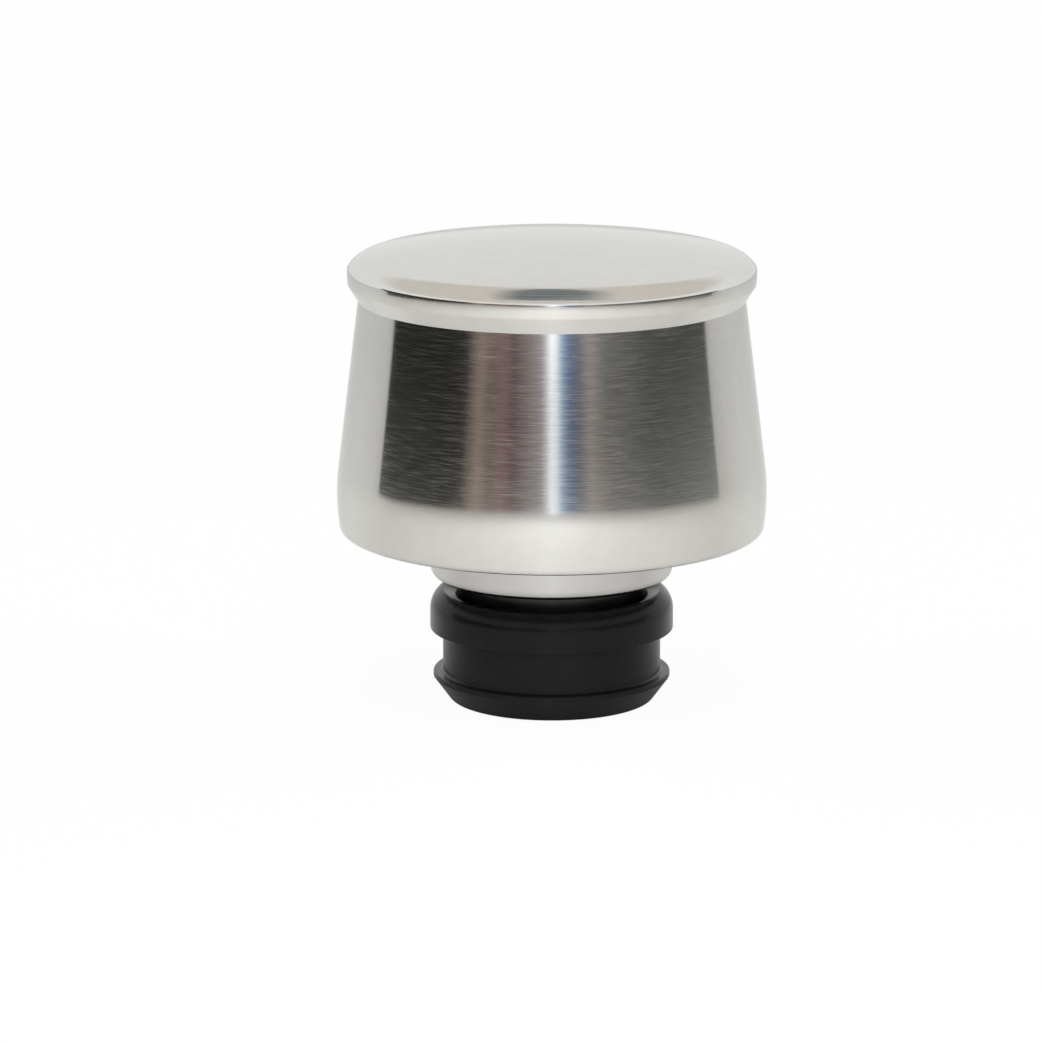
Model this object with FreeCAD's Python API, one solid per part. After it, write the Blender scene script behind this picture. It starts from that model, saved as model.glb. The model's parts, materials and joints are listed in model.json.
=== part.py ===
import FreeCAD, Part
import math
import os

from FreeCAD import Vector

# Crankcase breather cap: a turned aluminium cap on a neck that pushes into a rubber grommet.
# Millimetres. Z is the axis of the cap, and the origin is the centre of the grommet's bottom face.

# Grommet, for a cover with a wall of a quarter inch and a hole of one and a quarter inches
grommet_wall = 3.175
cover_wall = 6.35
nose_height = 3.5
nose_taper = 2.6
nose_round = 1.1
lower_lip_reach = 1.4
lower_lip_edge = 0.7
groove_round = 0.4
upper_lip_reach = 1.85
upper_lip_wall = 2.9
upper_lip_round = 3.6
lip_rim_angle = 50.0
lip_rim_round = 0.8
mouth_slope_angle = 24.0
mouth_gap = 1.3
mouth_lead = 3.0
ledge_thickness = 1.8

# Neck, one inch across
neck_diameter = 25.4
neck_wall = 1.5
neck_chamfer = 0.5
collar_reach = 1.8
collar_thickness = 1.2

# Outside of the shell, upwards from its underside
foot_round = 1.2
foot_sweep_radius = 33.0
foot_sweep_angle = 8.0
skirt_flare_angle = 6.95
skirt_height = 34.1
cove_reach = 1.48
cove_height = 2.35
rim_bow_radius = 8.5
rim_foot_angle = 9.0
rim_edge_angle = 4.0
rim_edge_round = 0.9
roll_radius = 4.2
roll_edge_angle = 37.0
dome_radius = 145.0

# Inside of the shell
shell_wall = 2.1
lid_thickness = 6.5
seat_step = 1.5
ring_recess = 0.5

# Base plate
plate_thickness = 2.6
boss_wall = 4.95
boss_height = 6.75
boss_round = 1.5
boss_lift = 1.95
vent_count = 16
vent_radius = 2.1

# Snap ring
ring_thickness = 1.0
ring_width = 2.4
ring_bite = 0.9
ring_gap = 9.0
lug_radius = 1.9
lug_hole_radius = 0.8

# Splash baffle and its rivets
sheet = 0.6
baffle_height = 11.0
baffle_apron = 2.5
baffle_foot_width = 3.2
baffle_leg_count = 3
baffle_leg_width = 6.0
rivet_radius = 0.9
rivet_head_radius = 1.3
rivet_head_height = 0.8
rivet_floor = 0.8

# Filter
foam_thickness = 5.8
screen_slot_count = 12
screen_slot_rows = 2
screen_slot_width = 3.0
screen_bar = 3.0

# Clearances
neck_clearance = 0.05
press_clearance = 0.02
plate_clearance = 0.1
ring_clearance = 0.1
rivet_clearance = 0.03
inner_clearance = 0.3


def on_circle(centre, radius, degrees):
    """Point of the profile on a circle, counted upwards from the outward direction."""
    angle = math.radians(degrees)
    return (centre[0] + radius * math.cos(angle), centre[1] + radius * math.sin(angle))


# Heights of the grommet, upwards from the face it stands on
lower_lip_top = nose_height + lower_lip_edge
groove_top = lower_lip_top + cover_wall
upper_lip_top = groove_top + upper_lip_wall

# Radii, outwards from the neck
neck_radius = neck_diameter / 2
neck_bore_radius = neck_radius - neck_wall
grommet_bore_radius = neck_radius + neck_clearance
groove_radius = neck_radius + grommet_wall
lower_lip_radius = groove_radius + lower_lip_reach
upper_lip_radius = groove_radius + upper_lip_reach
boss_radius = neck_radius + boss_wall
collar_radius = neck_radius + collar_reach
baffle_wall_radius = collar_radius + inner_clearance
rivet_circle_radius = baffle_wall_radius + sheet + baffle_foot_width / 2
baffle_foot_radius = baffle_wall_radius + sheet + baffle_foot_width
screen_bore_radius = baffle_foot_radius + inner_clearance
screen_radius = screen_bore_radius + sheet
foam_bore_radius = screen_radius + inner_clearance
foam_radius = foam_bore_radius + foam_thickness
vent_circle_radius = (foam_bore_radius + foam_radius) / 2
shell_bore_radius = foam_radius + inner_clearance
skirt_top_radius = shell_bore_radius + shell_wall
seat_radius = shell_bore_radius + seat_step
plate_radius = seat_radius - plate_clearance
ring_groove_radius = seat_radius + ring_bite
ring_radius = ring_groove_radius - ring_clearance
ring_bore_radius = ring_radius - ring_width
rim_radius = skirt_top_radius + cove_reach

# Centres of the upper lip's curves, its rolled side and the rim at its mouth
lip_centre = (upper_lip_radius - upper_lip_round, upper_lip_top)
lip_rim_centre = on_circle(lip_centre, upper_lip_round - lip_rim_round, lip_rim_angle)
crest_height = lip_rim_centre[1] + lip_rim_round

# Heights of the cap
boss_bottom = crest_height + boss_lift
underside = boss_bottom + boss_height
ring_bottom = underside + ring_recess
plate_bottom = ring_bottom + ring_thickness
plate_top = plate_bottom + plate_thickness
skirt_top = underside + skirt_height
cove_top = skirt_top + cove_height
rivet_bottom = plate_bottom + rivet_floor
neck_bottom = ledge_thickness + neck_clearance

# Centres of the lid's curves, each tangent to the next: rim, its upper edge, roll and dome
bow_centre = on_circle((rim_radius, cove_top), -rim_bow_radius, -rim_foot_angle)
edge_centre = on_circle(bow_centre, rim_bow_radius - rim_edge_round, rim_edge_angle)
roll_centre = on_circle(edge_centre, rim_edge_round - roll_radius, roll_edge_angle)
dome_centre = (0, roll_centre[1] - math.sqrt((dome_radius - roll_radius) ** 2 - roll_centre[0] ** 2))
dome_edge_angle = math.degrees(math.atan2(roll_centre[1] - dome_centre[1], roll_centre[0]))
lid_top = dome_centre[1] + dome_radius
ceiling = lid_top - lid_thickness
chamber_height = ceiling - plate_top - inner_clearance


def point(radius, height):
    return Vector(radius, 0, height)


def turned(start, *steps):
    """Solid of revolution. A step is the next corner, or a point to pass through and the end of an arc."""
    edges = []
    here = point(*start)
    for step in steps + (start,):
        if isinstance(step[0], tuple):
            through, end = step
            edges.append(Part.Arc(here, point(*through), point(*end)).toShape())
            here = point(*end)
        elif (point(*step) - here).Length > 0:
            edges.append(Part.LineSegment(here, point(*step)).toShape())
            here = point(*step)
    return Part.Face(Part.Wire(edges)).revolve(Vector(), Vector(0, 0, 1), 360)


def arc(centre, radius, first, last):
    """Step that follows a circle from one angle to another."""
    return (on_circle(centre, radius, (first + last) / 2), on_circle(centre, radius, last))


def around(count, radius, first=0.0):
    """Centres of a ring of equal copies, as (angle, x, y)."""
    for index in range(count):
        angle = first + 360 * index / count
        yield angle, radius * math.cos(math.radians(angle)), radius * math.sin(math.radians(angle))


def turned_to(shape, degrees):
    return shape.rotated(Vector(), Vector(0, 0, 1), degrees)


def cap_shell():
    """Domed lid, rolled rim, cove, flared skirt and rounded foot, bored from below for the plate."""
    flare = skirt_flare_angle
    sweep = foot_sweep_angle
    # The skirt's straight side leaves the corner under the cove and runs out and down onto the sweep.
    corner = (skirt_top_radius, skirt_top)
    round_height = underside + foot_round
    inner_sweep = foot_sweep_radius - foot_round
    sweep_height = round_height + inner_sweep * math.sin(math.radians(sweep))
    tangent_height = sweep_height + foot_sweep_radius * math.sin(math.radians(flare))
    tangent_radius = skirt_top_radius + (skirt_top - tangent_height) * math.tan(math.radians(flare))
    sweep_centre = (tangent_radius - foot_sweep_radius * math.cos(math.radians(flare)), sweep_height)
    round_centre = (sweep_centre[0] + inner_sweep * math.cos(math.radians(sweep)), round_height)
    return turned(
        (0, lid_top),
        (0, ceiling),
        (shell_bore_radius, ceiling),
        (shell_bore_radius, plate_top),
        (seat_radius, plate_top),
        (seat_radius, plate_bottom),
        (ring_groove_radius, plate_bottom),
        (ring_groove_radius, ring_bottom),
        (seat_radius, ring_bottom),
        (seat_radius, underside),
        on_circle(round_centre, foot_round, -90),
        arc(round_centre, foot_round, -90, -sweep),
        arc(sweep_centre, foot_sweep_radius, -sweep, flare),
        corner,
        (rim_radius, cove_top),
        arc(bow_centre, rim_bow_radius, -rim_foot_angle, rim_edge_angle),
        arc(edge_centre, rim_edge_round, rim_edge_angle, roll_edge_angle),
        arc(roll_centre, roll_radius, roll_edge_angle, dome_edge_angle),
        arc(dome_centre, dome_radius, dome_edge_angle, 90),
    )


def base_plate():
    """Plate with the boss under it, the neck's hole, the ring of vents and the rivets' blind holes."""
    hole = neck_radius + press_clearance
    plate = turned(
        (hole, plate_top),
        (hole, boss_bottom),
        (boss_radius - boss_round, boss_bottom),
        arc((boss_radius - boss_round, boss_bottom + boss_round), boss_round, -90, 0),
        (boss_radius, plate_bottom),
        (plate_radius, plate_bottom),
        (plate_radius, plate_top),
    )
    drills = []
    for angle, x, y in around(vent_count, vent_circle_radius, 180 / vent_count):
        drills.append(Part.makeCylinder(vent_radius, plate_thickness, Vector(x, y, plate_bottom)))
    for angle, x, y in around(baffle_leg_count, rivet_circle_radius):
        floor = Vector(x, y, rivet_bottom)
        drills.append(Part.makeCylinder(rivet_radius + rivet_clearance, plate_top - rivet_bottom, floor))
    return plate.cut(drills)


def neck_tube():
    """Tube that hangs in the boss by its collar and ends with a small chamfer."""
    return turned(
        (neck_bore_radius, plate_top + collar_thickness),
        (neck_bore_radius, neck_bottom),
        (neck_radius - neck_chamfer, neck_bottom),
        (neck_radius, neck_bottom + neck_chamfer),
        (neck_radius, plate_top),
        (collar_radius, plate_top),
        (collar_radius, plate_top + collar_thickness),
    )


def snap_ring():
    """Open spring ring with two holed lugs, seated in the shell's groove under the base plate."""
    ring = Part.makeCylinder(ring_radius, ring_thickness, Vector(0, 0, ring_bottom))
    ring = ring.cut(Part.makeCylinder(ring_bore_radius, ring_thickness, Vector(0, 0, ring_bottom)))
    gap = Part.makeBox(ring_radius, ring_gap, ring_thickness, Vector(0, -ring_gap / 2, ring_bottom))
    ring = ring.cut(gap)
    lugs = []
    holes = []
    lug_circle_radius = ring_bore_radius
    half_gap = math.degrees(math.asin((ring_gap / 2 + lug_radius) / lug_circle_radius))
    for side in (-half_gap, half_gap):
        angle = math.radians(side)
        seat = Vector(lug_circle_radius * math.cos(angle), lug_circle_radius * math.sin(angle), ring_bottom)
        lugs.append(Part.makeCylinder(lug_radius, ring_thickness, seat))
        holes.append(Part.makeCylinder(lug_hole_radius, ring_thickness, seat))
    return ring.fuse(lugs).cut(holes).removeSplitter()


def splash_baffle():
    """Drawn hood on three legs, each with a foot that a rivet holds to the base plate."""
    wall = baffle_wall_radius
    roof = plate_top + baffle_height
    hood = turned(
        (0, roof + sheet),
        (0, roof),
        (wall, roof),
        (wall, plate_top),
        (baffle_foot_radius, plate_top),
        (baffle_foot_radius, plate_top + sheet),
        (wall + sheet, plate_top + sheet),
        (wall + sheet, roof + sheet),
    )
    # A window between each pair of legs lets the vapour out under the apron.
    window_height = baffle_height - baffle_apron
    reach = baffle_foot_radius + sheet
    ring = Part.makeCylinder(reach, window_height, Vector(0, 0, plate_top))
    legs = []
    for angle, x, y in around(baffle_leg_count, 0):
        corner = Vector(0, -baffle_leg_width / 2, plate_top)
        leg = Part.makeBox(reach, baffle_leg_width, window_height, corner)
        legs.append(turned_to(leg, angle))
    hood = hood.cut(ring.cut(legs))
    drills = []
    for angle, x, y in around(baffle_leg_count, rivet_circle_radius):
        drills.append(Part.makeCylinder(rivet_radius + rivet_clearance, sheet, Vector(x, y, plate_top)))
    return hood.cut(drills)


def baffle_rivets():
    """Drive rivets with domed heads, one through each foot of the baffle."""
    head_bottom = plate_top + sheet
    head_round = (rivet_head_radius ** 2 + rivet_head_height ** 2) / (2 * rivet_head_height)
    head_centre = (0, head_bottom + rivet_head_height - head_round)
    head_edge = math.degrees(math.atan2(head_bottom - head_centre[1], rivet_head_radius))
    rivet = turned(
        (0, rivet_bottom),
        (rivet_radius, rivet_bottom),
        (rivet_radius, head_bottom),
        (rivet_head_radius, head_bottom),
        arc(head_centre, head_round, head_edge, 90),
    )
    rivets = []
    for angle, x, y in around(baffle_leg_count, rivet_circle_radius):
        rivets.append(rivet.translated(Vector(x, y, 0)))
    return Part.makeCompound(rivets)


def sleeve(inner_radius, outer_radius, bottom, height):
    tube = Part.makeCylinder(outer_radius, height, Vector(0, 0, bottom))
    return tube.cut(Part.makeCylinder(inner_radius, height, Vector(0, 0, bottom)))


def filter_screen():
    """Slotted sleeve that keeps the foam away from the hood."""
    screen = sleeve(screen_bore_radius, screen_radius, plate_top, chamber_height)
    slot_pitch = (chamber_height - screen_bar) / screen_slot_rows
    slot_height = slot_pitch - screen_bar
    slots = []
    for row in range(screen_slot_rows):
        bottom = plate_top + screen_bar + row * slot_pitch
        for angle, x, y in around(screen_slot_count, 0):
            corner = Vector(0, -screen_slot_width / 2, bottom)
            slot = Part.makeBox(screen_radius + sheet, screen_slot_width, slot_height, corner)
            slots.append(turned_to(slot, angle))
    return screen.cut(slots)


def filter_element():
    """Foam ring that stands on the vents and fills the shell up to the lid."""
    return sleeve(foam_bore_radius, foam_radius, plate_top, chamber_height)


def grommet():
    """Tapered nose, groove for the cover's hole, rolled upper lip, open mouth, and a ledge under the neck."""
    nose_radius = lower_lip_radius - nose_taper
    # The rounded corner at the bottom meets the flat face and the taper tangentially.
    taper_angle = math.degrees(math.atan2(nose_height, nose_taper))
    setback = nose_round * math.tan(math.radians(taper_angle / 2))
    nose_centre = (nose_radius - setback, nose_round)
    # The lip's top falls from its rim to the mouth, which leads the neck in.
    slope_start = on_circle(lip_rim_centre, lip_rim_round, 90 + mouth_slope_angle)
    mouth_radius = grommet_bore_radius + mouth_gap
    mouth_drop = (slope_start[0] - mouth_radius) * math.tan(math.radians(mouth_slope_angle))
    mouth_height = slope_start[1] - mouth_drop
    fillet_centre = (groove_radius + groove_round, lower_lip_top + groove_round)
    return turned(
        (neck_bore_radius, 0),
        on_circle(nose_centre, nose_round, -90),
        arc(nose_centre, nose_round, -90, taper_angle - 90),
        (lower_lip_radius, nose_height),
        (lower_lip_radius, lower_lip_top),
        (groove_radius + groove_round, lower_lip_top),
        arc(fillet_centre, groove_round, 270, 180),
        (groove_radius, groove_top),
        (upper_lip_radius, groove_top),
        (upper_lip_radius, upper_lip_top),
        arc(lip_centre, upper_lip_round, 0, lip_rim_angle),
        arc(lip_rim_centre, lip_rim_round, lip_rim_angle, 90 + mouth_slope_angle),
        (mouth_radius, mouth_height),
        (grommet_bore_radius, mouth_height - mouth_lead),
        (grommet_bore_radius, ledge_thickness),
        (neck_bore_radius, ledge_thickness),
    )


nodes = {
    "cap_shell": cap_shell,
    "base_plate": base_plate,
    "neck_tube": neck_tube,
    "snap_ring": snap_ring,
    "splash_baffle": splash_baffle,
    "baffle_rivets": baffle_rivets,
    "filter_screen": filter_screen,
    "filter_element": filter_element,
    "grommet": grommet,
}

os.makedirs("parts", exist_ok=True)
for name, build in nodes.items():
    build().exportStep("parts/" + name + ".step")
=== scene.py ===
import json
import math

import bpy
from bpy.props import FloatProperty, IntProperty, PointerProperty, StringProperty
from bpy.types import Operator, Panel, PropertyGroup
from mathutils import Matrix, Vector

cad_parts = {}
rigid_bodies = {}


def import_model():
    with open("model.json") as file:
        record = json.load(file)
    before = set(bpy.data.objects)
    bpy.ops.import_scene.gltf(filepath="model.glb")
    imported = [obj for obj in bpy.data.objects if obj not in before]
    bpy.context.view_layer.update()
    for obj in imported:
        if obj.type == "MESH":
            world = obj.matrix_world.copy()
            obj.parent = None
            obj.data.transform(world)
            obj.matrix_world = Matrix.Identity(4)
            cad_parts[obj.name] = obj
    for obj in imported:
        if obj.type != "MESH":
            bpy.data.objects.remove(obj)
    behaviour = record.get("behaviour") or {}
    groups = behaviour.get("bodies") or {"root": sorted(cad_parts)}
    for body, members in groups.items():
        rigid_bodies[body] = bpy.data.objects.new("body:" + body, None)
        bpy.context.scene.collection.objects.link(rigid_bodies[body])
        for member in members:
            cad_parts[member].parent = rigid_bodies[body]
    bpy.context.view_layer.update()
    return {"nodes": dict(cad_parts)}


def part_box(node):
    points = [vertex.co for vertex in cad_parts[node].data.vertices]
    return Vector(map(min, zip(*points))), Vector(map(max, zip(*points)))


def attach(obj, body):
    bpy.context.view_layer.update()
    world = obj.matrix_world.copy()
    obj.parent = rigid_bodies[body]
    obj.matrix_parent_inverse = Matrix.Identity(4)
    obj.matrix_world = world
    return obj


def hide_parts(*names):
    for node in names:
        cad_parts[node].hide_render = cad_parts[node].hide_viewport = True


bl_info = {
    "name": "Breather Cap",
    "version": (1, 0, 0),
    "blender": (4, 5, 0),
    "location": "View3D > Sidebar > Breather Cap",
    "description": "Models a turned aluminium crankcase breather cap on its rubber grommet",
    "category": "Object",
}

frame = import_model()
SHELL_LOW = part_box("cap_shell")[0]
PLATE_LOW, PLATE_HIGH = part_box("base_plate")
NECK_LOW, NECK_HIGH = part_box("neck_tube")
RING_LOW, RING_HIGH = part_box("snap_ring")
FOAM_LOW, FOAM_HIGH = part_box("filter_element")
SCREEN_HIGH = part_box("filter_screen")[1]
GROMMET_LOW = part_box("grommet")[0]

MM = 0.001
IMAGE_SIZE = 1043
CRISP_ANGLE = math.radians(28)
FOAM_GAP = 0.3 * MM
FOAM_BORE = SCREEN_HIGH[0] + FOAM_GAP
FOAM_ROUND = 0.8 * MM
# Painted shade in the pits of the open cells.
FOAM_PIT_SHADE = "#0A0A0A"
VENT_STEPS = 48


def length(name, description, millimetres):
    """Length property with its default in millimetres."""
    metres = millimetres * MM
    return FloatProperty(name=name, description=description, default=metres, unit="LENGTH", precision=5)


def angle(name, description, degrees):
    """Angle property with its default in degrees."""
    radians = math.radians(degrees)
    return FloatProperty(name=name, description=description, default=radians, unit="ROTATION")


def finish_colour(name, description, code):
    """Colour property that holds an sRGB hex code."""
    return StringProperty(name=name, description=description, default=code)


class ShellSizes(PropertyGroup):
    """Sizes of the turned shell that the frame's boxes don't give."""

    skirt_top_radius: length("Skirt top radius", "Radius of the corner under the cove", 27.985)
    skirt_height: length("Skirt height", "From the underside to the corner under the cove", 34.1)
    skirt_flare: angle("Skirt flare", "Slope of the straight skirt", 6.95)
    foot_sweep: length("Foot sweep", "Radius of the curve that turns the skirt in", 33.0)
    foot_angle: angle("Foot angle", "How far the sweep turns inwards", 8.0)
    foot_round: length("Foot round", "Radius of the edge at the underside", 1.2)
    cove_reach: length("Cove reach", "How far the rim stands out over the skirt", 1.48)
    cove_height: length("Cove height", "Height of the slope under the rim", 2.35)
    bow_radius: length("Bow radius", "Radius of the rim's band, which bows out", 8.5)
    bow_foot_angle: angle("Bow foot angle", "How far the band turns under at its lower edge", 9.0)
    bow_edge_angle: angle("Bow edge angle", "Slope of the band where its upper edge starts", 4.0)
    edge_round: length("Edge round", "Radius of the tight edge over the band", 0.9)
    cove_round: length("Cove round", "Radius of the edge between the band and the cove", 0.3)
    roll_radius: length("Roll radius", "Radius of the roll from the rim up to the dome", 4.2)
    roll_edge_angle: angle("Roll edge angle", "Slope of the roll at the crisp edge", 37.0)
    dome_radius: length("Dome radius", "Radius of the lid's dome", 145.0)
    bore_radius: length("Bore radius", "Inside of the shell", 25.9)
    lid_thickness: length("Lid thickness", "At the middle of the dome", 6.5)
    ring_bite: length("Ring bite", "Depth of the groove for the snap ring", 0.9)


class BaseSizes(PropertyGroup):
    """Sizes of the base plate, its vents and the neck."""

    boss_radius: length("Boss radius", "Outside of the boss under the plate", 17.65)
    boss_round: length("Boss round", "Radius of the boss's lower edge", 1.5)
    neck_wall: length("Neck wall", "Thickness of the neck's tube", 1.5)
    neck_radius: length("Neck radius", "Outside of the neck's tube", 12.7)
    neck_chamfer: length("Neck chamfer", "At the neck's lower end", 0.5)
    collar_thickness: length("Collar thickness", "Collar that holds the neck on the plate", 1.2)
    press_gap: length("Press gap", "Between the neck and the plate", 0.02)
    edge_round: length("Edge round", "Broken edges of the plate and the vents", 0.2)
    vent_radius: length("Vent radius", "Holes that let the air out", 2.1)
    vent_count: IntProperty(name="Vents", description="Holes around the boss", default=16, min=3)


class GrommetSizes(PropertyGroup):
    """Sizes of the moulded grommet."""

    groove_radius: length("Groove radius", "Seat for the hole in the cover", 15.875)
    groove_width: length("Groove width", "Wall of the cover", 6.35)
    groove_round: length("Groove round", "Radius in the groove's corners", 0.4)
    nose_height: length("Nose height", "Tapered end below the lower lip", 3.5)
    nose_taper: length("Nose taper", "How far the nose draws in", 2.6)
    nose_round: length("Nose round", "Radius of the bottom edge", 1.1)
    lower_lip_reach: length("Lower lip reach", "How far the lower lip stands out", 1.4)
    lower_lip_edge: length("Lower lip edge", "Height of the lower lip's edge", 0.7)
    upper_lip_reach: length("Upper lip reach", "How far the upper lip stands out", 1.85)
    upper_lip_wall: length("Upper lip wall", "Straight side of the upper lip", 2.9)
    upper_lip_round: length("Upper lip round", "Radius of the rolled side", 3.6)
    lip_edge_round: length("Lip edge round", "Softened moulded edges of the lips", 0.25)
    rim_angle: angle("Rim angle", "Where the rolled top turns into the rim of the mouth", 50.0)
    rim_round: length("Rim round", "Radius of the rim of the mouth", 0.8)
    mouth_slope: angle("Mouth slope", "How steeply the top falls from the rim to the mouth", 24.0)
    mouth_gap: length("Mouth gap", "From the bore out to the edge of the mouth", 1.3)
    mouth_lead: length("Mouth lead", "Depth of the cone that leads the neck in", 3.0)
    mouth_round: length("Mouth round", "Softened edge of the mouth", 0.35)
    ledge: length("Ledge", "Thickness of the ledge under the neck", 1.8)
    bore_gap: length("Bore gap", "Between the bore and the neck", 0.05)


class Finishes(PropertyGroup):
    """Colours of the finishes, as sRGB hex codes."""

    aluminium: finish_colour("Aluminium", "Turned and polished aluminium", "#DAD9D5")
    # The plate's darker aluminium is painted shade, standing in for the cap's shadow on the floor that the boss
    # reflects.
    plate: finish_colour("Plate", "Turned aluminium of the base plate", "#C6C5C2")
    # The neck's dark colour is painted shade under the boss and painted reflection of the black rubber around it.
    neck: finish_colour("Neck", "Black anodised tube", "#525354")
    rivet: finish_colour("Rivet", "Plain aluminium rivets", "#B9B9B6")
    spring_steel: finish_colour("Spring steel", "Dark oiled snap ring", "#3A3B3D")
    zinc: finish_colour("Zinc", "Plated sheet inside the cap", "#B4B7B8")
    foam: finish_colour("Foam", "Open-cell filter foam", "#2B2B2A")
    rubber: finish_colour("Rubber", "Moulded black rubber", "#161716")
    table: finish_colour("Table", "Warm table beyond the paper", "#C0B8B0")


class StageSizes(PropertyGroup):
    """Camera and light of the studio."""

    camera_distance: length("Camera distance", "From the cap's axis, level", 792.9)
    camera_height: length("Camera height", "Above the floor", 204.0)
    aim_height: length("Aim height", "Height on the axis at the picture's middle", 26.2)
    aim_side: length("Aim side", "How far the view stands left of the axis", 4.4)
    focal_pixels: FloatProperty(
        name="Focal length", description="In pixels of the square picture", default=5584)
    room_radius: length("Room radius", "Distance of the dark room in front", 430.0)
    room_height: length("Room height", "Top of the dark room", 130.0)
    room_angle: angle("Room angle", "Half of the dark room's width", 112.0)
    gap_height: length("Gap height", "Height of the dark gap between the softboxes", 600.0)
    gap_front: length("Gap front", "How far the gap reaches to the front", 190.0)
    gap_front_half: length("Gap front half", "Half of the gap's width at its front end", 250.0)
    gap_back: length("Gap back", "How far the gap reaches to the back", 580.0)
    gap_back_half: length("Gap back half", "Half of the gap's width at its back end", 12.0)
    room_rise: length("Room rise", "How far the dark room's lower edge rises to the front", 34.0)


class CapSettings(PropertyGroup):
    """All that a user can set."""

    shell: PointerProperty(type=ShellSizes)
    base: PointerProperty(type=BaseSizes)
    grommet: PointerProperty(type=GrommetSizes)
    finishes: PointerProperty(type=Finishes)
    stage: PointerProperty(type=StageSizes)
    segments: IntProperty(name="Segments", description="Steps of a full turn", default=288, min=24)


# Colour and nodes

def linear(code):
    """Linear colour of an sRGB hex code."""
    channels = [int(code[start:start + 2], 16) / 255 for start in (1, 3, 5)]
    curve = [c / 12.92 if c <= 0.04045 else ((c + 0.055) / 1.055) ** 2.4 for c in channels]
    return (*curve, 1.0)


def shaded(code, share):
    """Linear colour of an sRGB hex code, darker or lighter by a share."""
    return (*(share * c for c in linear(code)[:3]), 1.0)


def add(tree, kind, settings=None, inputs=None):
    """Node with its settings, its input values and its links."""
    node = tree.nodes.new(kind)
    for name, value in (settings or {}).items():
        setattr(node, name, value)
    for name, value in (inputs or {}).items():
        if isinstance(value, bpy.types.NodeSocket):
            tree.links.new(value, node.inputs[name])
        else:
            node.inputs[name].default_value = value
    return node


def new_material(name):
    """Empty material with its output, as (material, tree, output)."""
    material = bpy.data.materials.new(name)
    material.use_nodes = True
    tree = material.node_tree
    tree.nodes.clear()
    return material, tree, add(tree, "ShaderNodeOutputMaterial")


def maths(tree, operation, *values):
    """Result of a maths node."""
    return add(tree, "ShaderNodeMath", {"operation": operation}, dict(enumerate(values))).outputs[0]


def remap(tree, value, source, target=(0.0, 1.0)):
    """Value moved from one range to another and held to it."""
    ends = {"Value": value, "From Min": source[0], "From Max": source[1],
            "To Min": target[0], "To Max": target[1]}
    return add(tree, "ShaderNodeMapRange", inputs=ends).outputs["Result"]


def lathe_marks(tree, pitch, reach):
    """Noise drawn out around the axis: fine across the marks, long along them."""
    place = add(tree, "ShaderNodeTexCoord").outputs["Object"]
    axes = add(tree, "ShaderNodeSeparateXYZ", inputs={0: place}).outputs
    flat = add(tree, "ShaderNodeCombineXYZ", inputs={"X": axes["X"], "Y": axes["Y"]}).outputs[0]
    radius = add(tree, "ShaderNodeVectorMath", {"operation": "LENGTH"}, {0: flat}).outputs["Value"]
    across = maths(tree, "SUBTRACT", axes["Z"], radius)
    spread = add(tree, "ShaderNodeCombineXYZ", inputs={"X": axes["X"], "Y": axes["Y"], "Z": across}).outputs[0]
    stretch = (1 / reach, 1 / reach, 1 / pitch)
    scaled = add(tree, "ShaderNodeVectorMath", {"operation": "MULTIPLY"}, {0: spread, 1: stretch}).outputs[0]
    noise = {"Vector": scaled, "Scale": 1.0, "Detail": 3.0, "Roughness": 0.65}
    return add(tree, "ShaderNodeTexNoise", inputs=noise).outputs["Fac"]


def bearing_of(tree, place):
    """Angle around the axis from the front, counted to the right."""
    axes = add(tree, "ShaderNodeSeparateXYZ", inputs={0: place}).outputs
    return maths(tree, "ARCTAN2", axes["X"], maths(tree, "MULTIPLY", axes["Y"], -1.0))


def colour_stops(tree, value, stops):
    """Colours along a value, from (position, hex code) pairs."""
    ramp = add(tree, "ShaderNodeValToRGB", inputs={"Fac": value})
    elements = ramp.color_ramp.elements
    elements.remove(elements[1])
    for index, (position, code) in enumerate(stops):
        element = elements[0] if index == 0 else elements.new(position)
        element.position = position
        element.color = linear(code)
    return ramp.outputs["Color"]


def around_axis(tree):
    """Direction of the lathe's marks at each point."""
    place = add(tree, "ShaderNodeTexCoord").outputs["Object"]
    around = {0: (0, 0, 1), 1: place}
    return add(tree, "ShaderNodeVectorMath", {"operation": "CROSS_PRODUCT"}, around).outputs[0]


def turned_aluminium(name, code):
    """Aluminium bar turned on a lathe and polished with abrasive cloth while it spins.

    The cloth leaves hair lines around the axis, which draw each reflection out along the axis.
    """
    material, tree, output = new_material(name)
    fine = lathe_marks(tree, 0.12 * MM, 3.5 * MM)
    coarse = lathe_marks(tree, 0.4 * MM, 14 * MM)
    both = add(tree, "ShaderNodeMix", inputs={"Factor": 0.12, "A": fine, "B": coarse}).outputs["Result"]
    place = add(tree, "ShaderNodeTexCoord").outputs["Object"]
    patches = {"Vector": place, "Scale": 1 / (2 * MM), "Detail": 4.0}
    cloud = add(tree, "ShaderNodeTexNoise", inputs=patches).outputs["Fac"]
    worn = add(tree, "ShaderNodeMix", inputs={"Factor": 0.4, "A": both, "B": cloud}).outputs["Result"]
    roughness = remap(tree, both, (0.46, 0.74), (0.09, 0.19))
    shade = {"Factor": worn, "A": shaded(code, 0.86), "B": shaded(code, 1.1)}
    tone = add(tree, "ShaderNodeMix", {"data_type": "RGBA"}, shade)
    lines = {"Strength": 0.1, "Distance": 0.02 * MM, "Height": both}
    normal = add(tree, "ShaderNodeBump", inputs=lines).outputs[0]
    surface = add(tree, "ShaderNodeBsdfPrincipled", inputs={
        "Base Color": tone.outputs["Result"], "Metallic": 1.0, "Roughness": roughness, "Normal": normal,
        "Specular Tint": (0.85, 0.85, 0.84, 1.0), "Anisotropic": 0.5, "Anisotropic Rotation": 0.25,
        "Tangent": around_axis(tree)})
    tree.links.new(surface.outputs[0], output.inputs["Surface"])
    return material


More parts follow.
